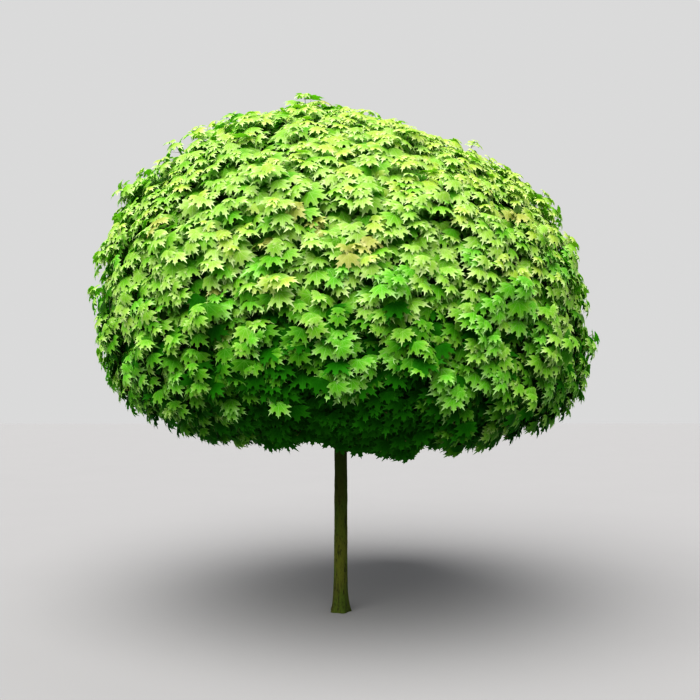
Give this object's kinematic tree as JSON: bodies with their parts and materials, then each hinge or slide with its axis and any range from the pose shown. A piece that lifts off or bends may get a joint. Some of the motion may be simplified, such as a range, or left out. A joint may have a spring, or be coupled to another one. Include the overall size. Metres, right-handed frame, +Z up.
{
  "type": "globe norway maple tree",
  "caption": "Globe maple tree: a straight clear trunk, boughs from one graft and a dense wide dome of lobed leaves, cut flat at ground level so it stands where it is set.",
  "frame": {"origin": "middle of the flat cut under the trunk, at ground level", "axes": "+Z up the trunk, +X to the right and -Y towards the viewer in the picture"},
  "size_m": [3.6557, 3.6392, 3.725],
  "materials": {
    "bark": "dull, finely furrowed olive-brown bark",
    "foliage_top": "soft sheen, lime green young leaves",
    "foliage_upper": "soft sheen, bright green leaves",
    "foliage_skirt": "soft sheen, deeper green leaves"
  },
  "bodies": {
    "root": {"trunk": "bark", "bough_top": "bark", "bough_upper_1": "bark", "bough_upper_2": "bark", "bough_upper_3": "bark", "bough_upper_4": "bark", "bough_upper_5": "bark", "bough_skirt_1": "bark", "bough_skirt_2": "bark", "bough_skirt_3": "bark", "bough_skirt_4": "bark", "bough_skirt_5": "bark", "bough_skirt_6": "bark", "bough_skirt_7": "bark", "bough_skirt_8": "bark", "foliage_top": "foliage_top", "foliage_upper_1": "foliage_upper", "foliage_upper_2": "foliage_upper", "foliage_upper_3": "foliage_upper", "foliage_upper_4": "foliage_upper", "foliage_upper_5": "foliage_upper", "foliage_skirt_1": "foliage_skirt", "foliage_skirt_2": "foliage_skirt", "foliage_skirt_3": "foliage_skirt", "foliage_skirt_4": "foliage_skirt", "foliage_skirt_5": "foliage_skirt", "foliage_skirt_6": "foliage_skirt", "foliage_skirt_7": "foliage_skirt", "foliage_skirt_8": "foliage_skirt"}
  },
  "joints": []
}
